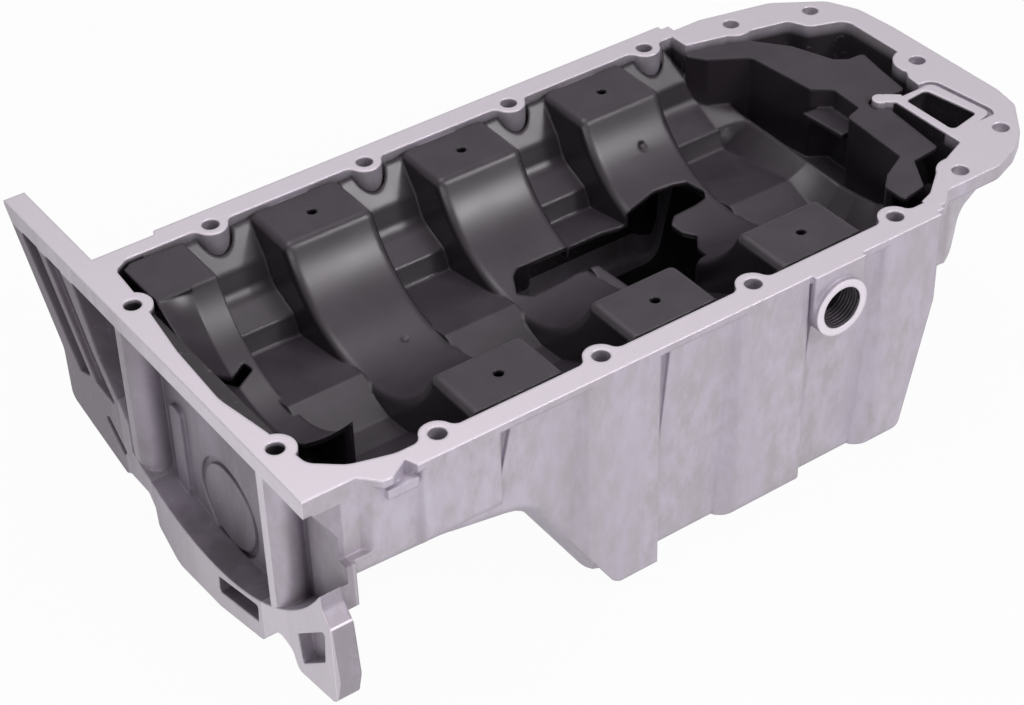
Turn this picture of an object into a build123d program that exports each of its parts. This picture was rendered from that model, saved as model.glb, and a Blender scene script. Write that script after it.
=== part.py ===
from build123d import *
from math import sqrt
import os

# Engine oil pan: a die-cast aluminium sump with a bell housing flange, the moulded
# windage tray that lies in it, the suction pickup below the tray and the drain plug.
#
# Millimetres. The origin is the centre of the long bolt rectangle, on the joint face.
# +X points to the front cover end, -X to the bell housing, +Z up to the engine.

# The cylinder spacing sets the rail bolts and the tray's bearing bridges
pitch = 86.0
rail_bolt_y = 95.0
rail_bolt_d = 8.6
rail_boss_r = 8.3
rail_boss_blend = 5.0

# Bolts at the two ends of the rail
front_bolts = [(179.4, 85.7), (221.0, 70.7)]
nose_bolt_x = 231.4
nose_boss_r = 12.4
bell_bolt_x = -188.5
bell_bolt_y = 62.0
bell_boss_r = 9.5
spot_face_r = 7.0

# Rail
rail_y = 107.0
rail_lip = 4.0
front_flange = 8.0
rail_inner_y = 95.0

# Bell housing flange
bell_x = -198.0
flange_t = 11.0
bell_web_x = -183.0
bell_border = 9.0
bell_rim_r = 127.0
crank_z = 24.0
disc_z = -81.0
disc_r = 22.0
disc_groove = 3.5
disc_groove_depth = 2.0
bell_boss_1_depth = 98.0
bell_boss_2_depth = 89.0
bell_rim_w = 9.0

# Tub and sump
wall = 4.5
tub_top_y = 104.0
tub_bottom_y = 97.5
cavity_bottom_y = 93.0
shallow_z = -54.5
shallow_end_x = -88.0
shallow_end_z = -65.0
sump_z = -132.0
sump_left = -46.0
sump_right = 133.0
tub_end_x = 152.0
floor_z = -60.0
floor_end = 188.0
shelf_z = -37.0
front_x = 234.0
tub_edge_r = 11.0
cavity_edge_r = 6.5

# Columns on the long walls, one at each rail bolt
column_left = 21.0
column_right = 24.0
column_soft_side = 7.0
column_z = -127.0
column_edge_r = 10.0
wedge_w = 6.5
wedge_depth = 3.2
wedge_end_z = -90.0
wedge_short_z = -34.0

# Oil level sensor port on the near wall
sensor_x = 83.0
sensor_z = -22.0
sensor_hole_d = 22.0
sensor_boss_r = 15.0
sensor_face_y = -112.0
sensor_block_y = -109.5

# Drain plug on the far wall
drain_x = 0.0
drain_z = -114.0
drain_thread_d = 14.0
drain_boss_r = 15.0
drain_face_y = 108.0
plug_head_af = 17.0
plug_head_t = 8.0
plug_flange_d = 23.0
plug_flange_t = 2.5
plug_length = 16.0
plug_gap = 0.15
washer_t = 1.5

# Suction passage through the casting
duct_groove = 3.0
duct_groove_depth = 2.5
duct_depth = 30.0
suction_y = -41.0
suction_d = 16.0
suction_body_r = 12.5
suction_top_x = 211.0
suction_top_z = -22.0
suction_turn_x = 186.0
suction_z = -74.0
suction_face_x = 137.0
suction_boss = 21.0

# Suction pickup
pickup_tube_d = 15.0
pickup_tube_t = 1.5
pickup_flange_t = 4.0
pickup_flange_h = 28.0
pickup_flange_w = 50.0
pickup_screw_y = 17.0
pickup_screw_d = 6.0
screw_head_d = 10.0
screw_head_t = 5.0
screw_length = 14.0
strainer_x = 66.0
strainer_d = 62.0
strainer_h = 9.0
strainer_gap = 5.0
strainer_wall = 1.5
strainer_slot = 3.0
seal_t = 1.2
seal_w = 1.6
seal_r = 10.5

# Windage tray
tray_t = 2.5
pad_z = -1.3
pad_hole_d = 5.0
pad_hole_y = 76.5
pad_hole_x = 1.4
crank_sweep_r = 65.0
bridge_left = 24.0
bridge_right = 26.0
bridge_edge_r = 4.5
tray_y = 92.0
tray_end_x = -178.0
tray_arc_x = -160.0
tray_first_x = -146.0
tray_last_x = 148.0
tray_ramp_x = 161.0
tray_clearance = 1.5
slot_x = -163.0
slot_y = 24.5
slot_length = 28.0
slot_w = 5.0
slot_turn = 25.0
ledge_w = 22.0
ledge_reach = 14.0
ledge_depth = 26.0
deck_z = -3.0
deck_tab_z = -14.0
well_z = -44.0

rail_bolt_x = [pitch * step for step in (-1.5, -0.5, 0.5, 1.5)]
bearings = [-pitch, 0.0, pitch]
sides = (-1, 1)
bell_bolts = [(bell_bolt_x, side * bell_bolt_y) for side in sides]
end_bolts = [(x, side * y) for x, y in front_bolts for side in sides] + [(nose_bolt_x, 0)]
deep = 10.0 - sump_z

# Side profile of the tub: a shallow floor, the deep sump, and its front slope
tub_side = [
    (bell_web_x, 2 * wall),
    (bell_web_x, shallow_z),
    (shallow_end_x - 45, shallow_z - 2),
    (shallow_end_x, shallow_end_z),
    (sump_left, sump_z),
    (sump_right, sump_z),
    (tub_end_x, floor_z + 10),
    (tub_end_x, 2 * wall),
]
tub_side_r = [0, 0, 30, 25, 15, 16, 0, 0]

# Side profile of the front part: a floor and the raised shelf under the front cover
front_side = [
    (130, 2 * wall),
    (130, floor_z),
    (floor_end, floor_z),
    (floor_end + 7, shelf_z),
    (front_x, shelf_z),
    (front_x, 2 * wall),
]
front_side_r = [0, 0, 9, 9, 9, 0]

# Plan of the front walls, under the overhanging flange
front_plan = [
    (130, -tub_top_y),
    (141, -tub_top_y),
    (150, -98.5),
    (172, -83.5),
    (190, -75.5),
    (222, -62),
    (front_x, -45),
    (front_x, 45),
    (222, 64),
    (205, 77),
    (170, 87),
    (150, 98.5),
    (141, tub_top_y),
    (130, tub_top_y),
]
front_plan_r = [0, 6, 10, 12, 12, 14, 12, 14, 14, 14, 14, 10, 6, 0]

# Plan of the opening inside the rail at the front, round the suction duct
mouth_plan = [
    (125, -rail_inner_y),
    (143, -rail_inner_y),
    (155, -91),
    (172, -78),
    (196.5, -68),
    (196.5, -21),
    (216, -19),
    (217, -9),
    (229.5, 10),
    (229.5, 52),
    (210, 59),
    (205, 70),
    (167, 79),
    (147, 84),
    (140, rail_inner_y),
    (125, rail_inner_y),
]
mouth_plan_r = [0, 8, 6, 8, 2, 2, 2, 6, 6, 8, 8, 6, 8, 5, 5, 0]

# Plan of the opening inside the rail at the bell end
bell_mouth = [
    (-140, -rail_inner_y),
    (-150, -rail_inner_y),
    (-170, -89),
    (-183, -78),
    (-186, -50),
    (-191, -20),
    (-189, 20),
    (-184, 60),
    (-182, 90),
    (-174, rail_inner_y),
    (-140, rail_inner_y),
]
bell_mouth_r = [0, 20, 14, 8, 30, 30, 60, 30, 6, 4, 0]
bell_mouth_side = [(-200, 9), (-200, -2), (-190, -2.5), (-181, -5), (-177, -14), (-140, -14), (-140, 9)]

# Outer edge of the rail
rail_plan = [
    (bell_x, -98),
    (-172, -98),
    (-164, -rail_y),
    (141, -rail_y),
    (147, -101),
    (156, -101),
    (164, -94),
    (197, -94),
    (213, -88),
    (225, -80),
    (241, -60),
    (244, -45),
    (244, 32),
    (242, 56),
    (234, 73),
    (209, 90),
    (169, 99),
    (150, 99),
    (143, rail_y),
    (-153, rail_y),
    (-155, 103),
    (bell_x, 103),
]
rail_plan_r = [0, 3, 3, 5, 5, 5, 5, 14, 14, 10, 10, 14, 14, 14, 12, 14, 10, 5, 4, 1, 1, 0]

# Outline of the bell housing flange, with the wing on the far side and the ear near
flange_plan = [
    (98, 0),
    (173, 0),
    (173, -2),
    (129, -62),
    (128, -91),
    (110, -96),
    (76, -105),
    (71, -102),
    (54, -102),
    (49, -108),
    (48, -119),
    (31, -131),
    (6, -129),
    (-8, -128),
    (-48, -118),
    (-65, -99),
    (-76, -102),
    (-80, -111),
    (-112, -106),
    (-116, -90),
    (-113, -62),
    (-106, -54),
    (-104, -30),
    (-98, 0),
]
flange_plan_r = [0, 0, 0, 8, 6, 8, 3, 3, 2, 2, 4, 12, 8, 4, 6, 8, 4, 4, 7, 8, 4, 4, 0, 0]

# Edge of the wing beside the deep recess
wing_edge = [(111, 0), (140, 0), (140, -110), (66, -110), (66, -68), (89, -41)]

# Pockets in the bell face and their depths: two in the wing, on each side of a thin rib,
# two in the lower rim and one in the ear
face_pockets = [
    ([(158, -bell_border), (141, -bell_border), (101, -62), (113, -66)], 6.5),
    ([(134, -bell_border), (117, -bell_border), (95, -42), (76, -65), (96, -62)], 3.0),
    ([(91, -80), (87, -77), (72, -90), (76, -94)], 5.0),
    ([(-10, -107.5), (-47, -97.5), (-46, -108.5), (-9, -118)], 7.0),
    ([(-82, -87), (-107, -66), (-105, -86), (-84, -104)], 7.0),
]
face_pocket_r = 1.5

# Notch in the near rail, and the shelf under it
rail_notch = [(-161, -108), (-149, -100.5), (-146.5, -108)]
rail_notch_depth = 6.5
notch_shelf = [(-162, -100), (-162, -rail_y), (-146.5, -rail_y), (-146.5, -100)]
notch_shelf_t = 5.0

# Near corner of the bell face: the step of the near wall and the slope under the border
near_step = [(-210, -98), (-172, -98), (-164, -107), (-164, -120), (-210, -120)]
near_step_z = -40.0
near_slope = [(bell_x, 0), (bell_x, -2), (bell_web_x, -28), (bell_web_x, 0)]
near_slope_w = 26.0

# Passage of the suction duct at the joint face, and the machined ring round it
duct_plan = [(201, -24.4), (215.5, -23), (220.8, -54.3), (201, -58.2)]
duct_ring = [(196.5, -20.4), (222, -20.4), (226.5, -57.5), (196.5, -65)]
duct_lug = (192.2, -15.2)
duct_lug_r = 4.0
duct_lug_arm = [(192, -19), (196, -13), (203, -19), (200, -25)]
duct_lug_depth = 24.0

# One side of a trough of the tray, from the rail to the middle, and the other side
trough_far = [(tray_y, deck_z), (80, -18), (74, -31), (57, -38), (52, -48), (0, -39)]
trough_near = [(-24, -48), (-40, -46.5), (-57, -38), (-74, -31), (-80, -18), (-tray_y, deck_z)]
trough_r = [0, 12, 10, 1, 1, 2, 3, 3, 3, 10, 12, 0]

# Lines across the tray where the last trough runs out under the deck
funnel_start = [
    (84, -4), (80, -18), (74, -31), (57, -38), (52, -48), (0, -39),
    (-24, -48), (-40, -46.5), (-57, -38), (-74, -31), (-80, -18), (-84, -4),
]
funnel_end = [
    (74, -28), (68, -30), (62, -31), (50, -32.2), (45, -32), (0, -33),
    (-24, -34), (-36, -33), (-50, -31), (-62, -26), (-68, -16), (-74, -4),
]
end_edge_mid = (5, -18.5)

# Shallow dimples in the bridges: place along the tray, place across it, radius of the ball
dimples = [(91.4, 47.4, 5.0), (-77.8, 10.6, 2.5)]
dimple_depth = 0.9

# Plan of the flat deck under the front cover, and of the opening over the strainer
deck_plan = [
    (169.7, 57.7), (173.9, 15.9), (182.8, 9), (181.6, -11.9), (171.5, -14.9), (168.2, -56.3),
    (152.4, -64.3), (145, -71), (145, -84), (160, -81.6), (171, -63), (188, -61.4), (192.4, -24.6),
    (202.2, -12.6), (210.9, -12.7), (214, 7.3), (217.5, 25.2), (207.8, 25.8), (201.7, 30.5),
    (193.5, 53.1), (179.6, 71), (146.6, 82.6), (144, 79.2), (151.2, 69.8),
]
deck_r = 2
deck_wall_side = [
    (130, 90), (150, 84), (174, 62), (188, 30), (188, -16), (174, -58), (158, -68), (146, -76), (130, -76),
]
well_plan = [
    (tray_ramp_x - tray_t, 66), (tray_ramp_x - tray_t, -62), (168, -58), (173, -15), (185, -12),
    (186, 9), (176, 16), (172, 58),
]
deck_tab = [(168, 14), (188, 12), (190, -14), (170, -13)]
opening_plan = [
    (-15.8, 7.5), (-10.4, 17.9), (-5.7, 21.4), (24, 20.8), (30, 27), (49, 27), (59, 24.5), (66, 25),
    (84, 28.7), (96, 28), (103, 26.3), (107.7, 18), (105, 14), (97.5, 12.5), (83.4, 11.9), (78.3, 7.4),
    (78.6, 0.2), (82.6, -7.4), (75, -17), (70, -30), (50, -34), (38, -28), (33.3, -14), (27.4, 1.1),
    (17.7, 3.9), (4.8, 2.4), (-10, 1.9),
]
opening_r = 1.5
open_corner = [
    (-190, -22), (-171, -28), (-162, -32), (-155, -43.5), (-146, -54), (-144, -71), (-144, -110),
    (-190, -110),
]


def outline(plane, points, radius):
    """A closed face through the points, each corner rounded by its radius."""
    with BuildSketch(plane) as shape:
        with BuildLine():
            FilletPolyline(*points, radius=radius, close=True)
        make_face()
    return shape.sketch


def inset(plane, points, radius):
    """The outline moved inwards by the casting's wall."""
    with BuildSketch(plane) as shape:
        add(outline(Plane.XY, points, radius))
        offset(amount=-wall)
    return shape.sketch


def bell_plane(x):
    """A plane whose sketch axes are +Y and +Z, and whose normal is +X."""
    return Plane(origin=(x, 0, 0), x_dir=(0, 1, 0), z_dir=(1, 0, 0))


def wall_plane(y):
    """A plane whose sketch axes are +X and +Z, and whose normal is -Y."""
    return Plane(origin=(0, y, 0), x_dir=(1, 0, 0), z_dir=(0, -1, 0))


def lug_face(radius, room):
    """Plan of the lug and its arm, with room round them for the tray."""
    with BuildSketch() as shape:
        with Locations(duct_lug):
            Circle(radius)
        add(outline(Plane.XY, duct_lug_arm, 1))
        if room:
            offset(amount=room)
    return shape.sketch


def wall_boss(x, side):
    """Plan of one bolt boss with its blends into the long wall."""
    strip = 16.0
    with BuildSketch() as shape:
        with Locations((x, side * (rail_inner_y + strip / 2))):
            Rectangle(46, strip)
        with Locations((x, side * rail_bolt_y)):
            Circle(rail_boss_r)
        corners = shape.vertices().filter_by(
            lambda v: abs(abs(v.X - x) - rail_boss_r) < 0.1 and abs(abs(v.Y) - rail_inner_y) < 0.1
        )
        fillet(corners, radius=rail_boss_blend)
    return shape.sketch


def column(x, side, bottom):
    """One outside column: a soft flank to the left, a crisp one to the right."""
    left = x - column_left
    right = x + column_right
    plan = [
        (left - 1, side * rail_inner_y),
        (left, side * tub_bottom_y),
        (left + column_soft_side, side * rail_y),
        (right, side * rail_y),
        (right + 1.5, side * rail_inner_y),
    ]
    section = [
        (side * (rail_inner_y - wall), 2 * wall),
        (side * (rail_inner_y - wall), bottom),
        (side * rail_y, bottom),
        (side * rail_y, 2 * wall),
    ]
    with BuildPart() as one:
        extrude(outline(Plane.XY, plan, [0, 4, 4, 1, 0]), amount=bottom)
        extrude(
            outline(bell_plane(left - 5), section, [0, 0, column_edge_r, 0]),
            amount=right - left + 10,
            mode=Mode.INTERSECT,
        )
    return one.part


def between(start, end, radius):
    """A round bar from one point to another."""
    run = Vector(*end) - Vector(*start)
    with BuildPart() as bar:
        with BuildSketch(Plane(origin=start, z_dir=run)):
            Circle(radius)
        extrude(amount=run.length)
    return bar.part


def suction_line(radius, end_x):
    """The bent line of the suction passage, for its body and for its bore."""
    top = (suction_top_x, suction_y, suction_top_z)
    turn = (suction_turn_x, suction_y, suction_z)
    with BuildPart() as line:
        add(between(top, turn, radius))
        add(between(turn, (end_x, suction_y, suction_z), radius))
        with Locations(turn):
            Sphere(radius)
    return line.part


def edges_along(part, limit):
    """Lower edges of a tub that follow its long walls."""
    chosen = ShapeList()
    for edge in part.edges():
        box = edge.bounding_box()
        across = box.size.X < 0.01 and box.size.Z < 0.01
        if box.max.Z < limit and not across and box.size.Y < 12:
            chosen.append(edge)
    return chosen


# Outside of the tub, with drafted long walls
with BuildPart() as tub:
    with BuildSketch(Plane.XY):
        with Locations(((bell_web_x + tub_end_x) / 2, 0)):
            Rectangle(tub_end_x - bell_web_x, 2 * tub_top_y)
    with BuildSketch(Plane.XY.offset(sump_z)):
        with Locations(((bell_web_x + tub_end_x) / 2, 0)):
            Rectangle(tub_end_x - bell_web_x, 2 * tub_bottom_y)
    loft(ruled=True)
    extrude(outline(Plane.XZ, tub_side, tub_side_r), amount=rail_y, both=True, mode=Mode.INTERSECT)
    fillet(edges_along(tub, -20), radius=tub_edge_r)

# Front walls with their stepped floor
with BuildPart() as nose:
    extrude(outline(Plane.XY, front_plan, front_plan_r), amount=-deep)
    extrude(outline(Plane.XZ, front_side, front_side_r), amount=rail_y, both=True, mode=Mode.INTERSECT)

# Room inside the tub, narrower to the floor
with BuildPart() as room:
    inner_left = bell_web_x + wall
    inner_right = tub_end_x - wall
    with BuildSketch(Plane.XY):
        with Locations(((inner_left + inner_right) / 2, 0)):
            Rectangle(inner_right - inner_left, 2 * rail_inner_y)
    with BuildSketch(Plane.XY.offset(sump_z)):
        with Locations(((inner_left + inner_right) / 2, 0)):
            Rectangle(inner_right - inner_left, 2 * cavity_bottom_y)
    loft(ruled=True)
    extrude(inset(Plane.XZ, tub_side, tub_side_r), amount=rail_y, both=True, mode=Mode.INTERSECT)
    fillet(edges_along(room, -20), radius=cavity_edge_r)

# Room under the front cover end
with BuildPart() as front_room:
    extrude(outline(Plane.XY, mouth_plan, mouth_plan_r), amount=-deep)
    extrude(inset(Plane.XZ, front_side, front_side_r), amount=rail_y, both=True, mode=Mode.INTERSECT)

# Room beside the bell end border, above the step of the end wall
with BuildPart() as bell_room:
    extrude(outline(Plane.XY, bell_mouth, bell_mouth_r), amount=-deep)
    extrude(outline(Plane.XZ, bell_mouth_side, 1), amount=rail_y, both=True, mode=Mode.INTERSECT)

# Near and far corners of the room follow the mouth all the way down
with BuildPart() as corner_fill:
    with BuildSketch(Plane.XY):
        with Locations((-165, 0)):
            Rectangle(50, 2 * rail_y)
        add(outline(Plane.XY, bell_mouth, bell_mouth_r), mode=Mode.SUBTRACT)
    extrude(amount=-deep)

# What stands in the room: rail bosses, end bosses and the ledges that carry the tray
with BuildPart() as standing:
    for x in rail_bolt_x:
        for side in sides:
            extrude(wall_boss(x, side), amount=-deep)
    with BuildSketch(Plane.XY):
        with Locations(*bell_bolts):
            Circle(bell_boss_r)
        with Locations((nose_bolt_x, 0)):
            Circle(nose_boss_r)
        with Locations(*end_bolts[:4]):
            Circle(spot_face_r + wall)
    extrude(amount=-deep)
    for c in bearings:
        for side in sides:
            ledge = [
                (side * rail_y, pad_z - tray_t),
                (side * (rail_inner_y - ledge_reach), pad_z - tray_t),
                (side * (rail_inner_y - ledge_reach), pad_z - tray_t - 4),
                (side * rail_inner_y, pad_z - tray_t - ledge_depth),
                (side * rail_y, pad_z - tray_t - ledge_depth),
            ]
            extrude(outline(bell_plane(c - ledge_w / 2), ledge, 0), amount=ledge_w)

with BuildPart() as cavity:
    add(room.part)
    add(corner_fill.part, mode=Mode.SUBTRACT)
    add(front_room.part)
    add(bell_room.part)
    add(standing.part, mode=Mode.SUBTRACT)

# Columns at the rail bolts, rounded under and cut back to the slope of the sump
with BuildPart() as columns:
    for x in rail_bolt_x:
        bottom = shallow_z + wall if x == rail_bolt_x[0] else column_z
        for side in sides:
            add(column(x, side, bottom))
    extrude(inset(Plane.XZ, tub_side, tub_side_r), amount=rail_y, both=True, mode=Mode.INTERSECT)

# Bell housing flange: a rim, a deep round recess, the ribbed wing and the ear
with BuildPart() as bell_flange:
    flange_face = outline(Plane.XY, flange_plan, flange_plan_r)
    with BuildSketch(bell_plane(bell_x)):
        add(flange_face)
    extrude(amount=flange_t)
    with BuildSketch(bell_plane(bell_x)):
        add(flange_face)
        with Locations((0, crank_z)):
            Circle(bell_rim_r + bell_rim_w, mode=Mode.INTERSECT)
        with Locations((0, sump_z / 2)):
            Rectangle(2 * tub_top_y, -sump_z, mode=Mode.INTERSECT)
    extrude(amount=bell_web_x + wall - bell_x)
    with BuildSketch(bell_plane(bell_x)):
        with Locations((0, crank_z)):
            Circle(bell_rim_r)
        with Locations((-8, -bell_border - 100)):
            Rectangle(240, 200, mode=Mode.INTERSECT)
        add(outline(Plane.XY, wing_edge, 2), mode=Mode.SUBTRACT)
    extrude(amount=bell_web_x - bell_x, mode=Mode.SUBTRACT)
    for pocket, depth in face_pockets:
        extrude(outline(bell_plane(bell_x), pocket, face_pocket_r), amount=depth, mode=Mode.SUBTRACT)
    # Half columns at the two end bolts
    for y, depth in ((bell_bolt_y, bell_boss_1_depth), (-bell_bolt_y, bell_boss_2_depth)):
        with BuildSketch(Plane.XY):
            with Locations((bell_bolt_x, y)):
                Circle(bell_boss_r)
        extrude(amount=-depth)
    # Round cover seat and the upright ribs on the back of the recess
    with BuildSketch(bell_plane(bell_web_x)):
        with Locations((0, disc_z)):
            Circle(disc_r + disc_groove)
            Circle(disc_r, mode=Mode.SUBTRACT)
    extrude(amount=disc_groove_depth, mode=Mode.SUBTRACT)
    with BuildSketch(bell_plane(bell_web_x)):
        with Locations((41, -73)):
            SlotOverall(52, 10, rotation=90)
    extrude(amount=-2.5)

# Oil pan casting
with BuildPart() as pan_casting:
    add(tub.part)
    add(nose.part)
    add(columns.part)
    add(bell_flange.part)
    # Rail: a thin lip over the long walls and a thicker flange round the front
    rail_face = outline(Plane.XY, rail_plan, rail_plan_r)
    extrude(rail_face, amount=-rail_lip)
    with BuildSketch(Plane.XY):
        add(rail_face)
        with Locations((141 + 100, 0)):
            Rectangle(200, 4 * rail_y, mode=Mode.INTERSECT)
    extrude(amount=-front_flange)
    # Border of the bell face under the rail
    with BuildSketch(bell_plane(bell_x)):
        with Locations((0, -bell_border / 2)):
            Rectangle(2 * 98, bell_border)
    extrude(amount=bell_web_x - bell_x)
    # Wedge pockets beside the crisp flanks of the columns
    for x in rail_bolt_x[:-1]:
        edge = x + column_right + 1.5
        end_z = wedge_short_z if x == rail_bolt_x[0] else wedge_end_z
        wedge = [(edge, -rail_lip), (edge + wedge_w, -rail_lip), (edge + 0.5, end_z)]
        floor_y = tub_top_y - wedge_depth
        for side in sides:
            extrude(outline(wall_plane(side * floor_y), wedge, 0), amount=-side * 10, mode=Mode.SUBTRACT)
    # Sensor port
    with BuildSketch(wall_plane(-rail_inner_y)):
        with Locations((sensor_x, sensor_z)):
            Circle(sensor_boss_r)
    extrude(amount=-sensor_face_y - rail_inner_y)
    with BuildSketch(wall_plane(-rail_inner_y)):
        with Locations((sensor_x, sensor_z / 2)):
            Rectangle(2 * sensor_boss_r, -sensor_z)
        with Locations((sensor_x, sensor_z)):
            Circle(sensor_boss_r)
    extrude(amount=-sensor_block_y - rail_inner_y)
    # The near wall steps in beside the bell face, and a slope carries the border there
    extrude(outline(Plane.XY.offset(near_step_z), near_step, 0), amount=deep, mode=Mode.SUBTRACT)
    extrude(outline(wall_plane(-98), near_slope, 0), amount=-near_slope_w)
    # Notch in the near rail
    extrude(outline(Plane.XY.offset(-rail_notch_depth), notch_shelf, 0), amount=-notch_shelf_t)
    extrude(outline(Plane.XY, rail_notch, 0), amount=-rail_notch_depth, mode=Mode.SUBTRACT)
    # Drain boss
    with BuildSketch(wall_plane(drain_face_y)):
        with Locations((drain_x, drain_z)):
            Circle(drain_boss_r)
    extrude(amount=drain_face_y - cavity_bottom_y)
    # Suction passage and its flange boss outside the room
    add(cavity.part, mode=Mode.SUBTRACT)
    add(suction_line(suction_body_r, suction_face_x + 5))
    with BuildSketch(bell_plane(suction_face_x)):
        with Locations((suction_y, suction_z)):
            RectangleRounded(pickup_flange_w, pickup_flange_h, 8)
    extrude(amount=suction_boss)
    add(suction_line(suction_d / 2, suction_face_x - 1), mode=Mode.SUBTRACT)
    extrude(outline(Plane.XY, duct_plan, 3), amount=-duct_depth, mode=Mode.SUBTRACT)
    with BuildSketch(Plane.XY):
        ring = outline(Plane.XY, duct_ring, 4)
        add(ring)
        offset(amount=duct_groove)
        add(ring, mode=Mode.SUBTRACT)
        with Locations((215, -30)):
            Rectangle(34, 60, mode=Mode.INTERSECT)
    extrude(amount=-duct_groove_depth, mode=Mode.SUBTRACT)
    # Round lug at the corner of the duct, on its arm
    with BuildSketch(Plane.XY):
        add(lug_face(duct_lug_r, 0))
    extrude(amount=-duct_lug_depth)
    # Holes
    with Locations(*[(x, side * rail_bolt_y) for x in rail_bolt_x for side in sides]):
        Cylinder(rail_bolt_d / 2, 4 * deep, mode=Mode.SUBTRACT)
    with Locations(*bell_bolts, *end_bolts):
        Cylinder(rail_bolt_d / 2, 4 * deep, mode=Mode.SUBTRACT)
    with BuildSketch(Plane.XY.offset(-front_flange)):
        with Locations(*end_bolts):
            Circle(spot_face_r)
    extrude(amount=-deep, mode=Mode.SUBTRACT)
    with BuildSketch(bell_plane(suction_face_x)):
        with Locations(*[(suction_y + side * pickup_screw_y, suction_z) for side in sides]):
            Circle(pickup_screw_d / 2)
    extrude(amount=screw_length - pickup_flange_t + 2, mode=Mode.SUBTRACT)
    with BuildSketch(wall_plane(-rail_inner_y + 5)):
        with Locations((sensor_x, sensor_z)):
            Circle(sensor_hole_d / 2)
    extrude(amount=40, mode=Mode.SUBTRACT)
    with BuildSketch(wall_plane(drain_face_y + 1)):
        with Locations((drain_x, drain_z)):
            Circle(drain_thread_d / 2)
    extrude(amount=30, mode=Mode.SUBTRACT)

# Drain plug with its flange and hexagon
with BuildPart() as drain_plug:
    face_y = drain_face_y + washer_t
    with BuildSketch(wall_plane(face_y)):
        with Locations((drain_x, drain_z)):
            Circle(plug_flange_d / 2)
    extrude(amount=-plug_flange_t)
    with BuildSketch(wall_plane(face_y + plug_flange_t)):
        with Locations((drain_x, drain_z)):
            RegularPolygon(plug_head_af / 2, 6, major_radius=False)
    extrude(amount=-plug_head_t)
    with BuildSketch(wall_plane(face_y)):
        with Locations((drain_x, drain_z)):
            Circle(drain_thread_d / 2 - plug_gap)
    extrude(amount=plug_length)

# Sealing washer under the plug
with BuildPart() as drain_washer:
    with BuildSketch(wall_plane(drain_face_y + washer_t)):
        with Locations((drain_x, drain_z)):
            Circle(plug_flange_d / 2 - 0.5)
            Circle(drain_thread_d / 2 + plug_gap, mode=Mode.SUBTRACT)
    extrude(amount=washer_t)

# Suction pickup: flange, bent tube and the cup of the strainer
strainer_z = sump_z + wall + strainer_gap
tube_path = [
    (suction_face_x - pickup_flange_t, suction_y, suction_z),
    (104, suction_y, suction_z),
    (strainer_x, 0, -85),
    (strainer_x, 0, strainer_z + strainer_h - strainer_wall),
]


def pickup_bar(radius, tail):
    """The tube's round bar, longer by the tail into its flange and its cup."""
    points = list(tube_path)
    points[0] = (points[0][0] + tail, points[0][1], points[0][2])
    with BuildPart() as bar:
        with BuildLine() as path:
            FilletPolyline(*points, radius=(22, 20))
        with BuildSketch(Plane(origin=path.line @ 0, z_dir=path.line % 0)):
            Circle(radius)
        sweep(path=path.line)
    return bar.part


with BuildPart() as pickup_tube:
    with BuildSketch(bell_plane(suction_face_x - pickup_flange_t)):
        with Locations((suction_y, suction_z)):
            RectangleRounded(pickup_flange_w, pickup_flange_h, 8)
            with Locations((-pickup_screw_y, 0), (pickup_screw_y, 0)):
                Circle(pickup_screw_d / 2 + plug_gap, mode=Mode.SUBTRACT)
    extrude(amount=pickup_flange_t)
    with Locations((strainer_x, 0, strainer_z + strainer_h / 2)):
        Cylinder(strainer_d / 2, strainer_h)
    add(pickup_bar(pickup_tube_d / 2, 1))
    with Locations((strainer_x, 0, strainer_z + (strainer_h - strainer_wall) / 2)):
        Cylinder(strainer_d / 2 - strainer_wall, strainer_h - strainer_wall, mode=Mode.SUBTRACT)
    add(pickup_bar(pickup_tube_d / 2 - pickup_tube_t, pickup_flange_t + 1), mode=Mode.SUBTRACT)
    with Locations((strainer_x, 0, strainer_z + strainer_h - strainer_wall)):
        Cylinder(pickup_tube_d / 2 - pickup_tube_t, 4 * strainer_wall, mode=Mode.SUBTRACT)
    with BuildSketch(bell_plane(suction_face_x - seal_t)):
        with Locations((suction_y, suction_z)):
            Circle(seal_r + seal_w / 2)
            Circle(seal_r - seal_w / 2, mode=Mode.SUBTRACT)
    extrude(amount=seal_t, mode=Mode.SUBTRACT)

with BuildPart() as pickup_seal:
    with BuildSketch(bell_plane(suction_face_x - seal_t)):
        with Locations((suction_y, suction_z)):
            Circle(seal_r + seal_w / 2)
            Circle(seal_r - seal_w / 2, mode=Mode.SUBTRACT)
    extrude(amount=seal_t)

# Slotted screen in the mouth of the strainer cup
with BuildPart() as pickup_screen:
    screen_d = strainer_d - 2 * strainer_wall - plug_gap
    with BuildSketch(Plane.XY.offset(strainer_z)):
        with Locations((strainer_x, 0)):
            Circle(screen_d / 2)
            with GridLocations(2 * strainer_slot, 0, 7, 1):
                SlotOverall(screen_d * 0.62, strainer_slot, rotation=90, mode=Mode.SUBTRACT)
    extrude(amount=strainer_wall)


def pickup_screw(side):
    """Hexagon screw that holds the pickup's flange to the casting."""
    y = suction_y + side * pickup_screw_y
    with BuildPart() as screw:
        with BuildSketch(bell_plane(suction_face_x - pickup_flange_t)):
            with Locations((y, suction_z)):
                RegularPolygon(screw_head_d / 2, 6, major_radius=False)
        extrude(amount=-screw_head_t)
        with BuildSketch(bell_plane(suction_face_x - pickup_flange_t)):
            with Locations((y, suction_z)):
                Circle(pickup_screw_d / 2 - plug_gap)
        extrude(amount=screw_length)
    return screw.part


def under(points, radius, drop):
    """Everything under a tray profile that is lowered by the drop, in tray sketch axes."""
    low = -90.0
    shape = [(y, z - drop) for y, z in points]
    shape = [(points[0][0], low)] + shape + [(points[-1][0], low)]
    return outline(Plane.XY, shape, [0] + radius + [0])


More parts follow.
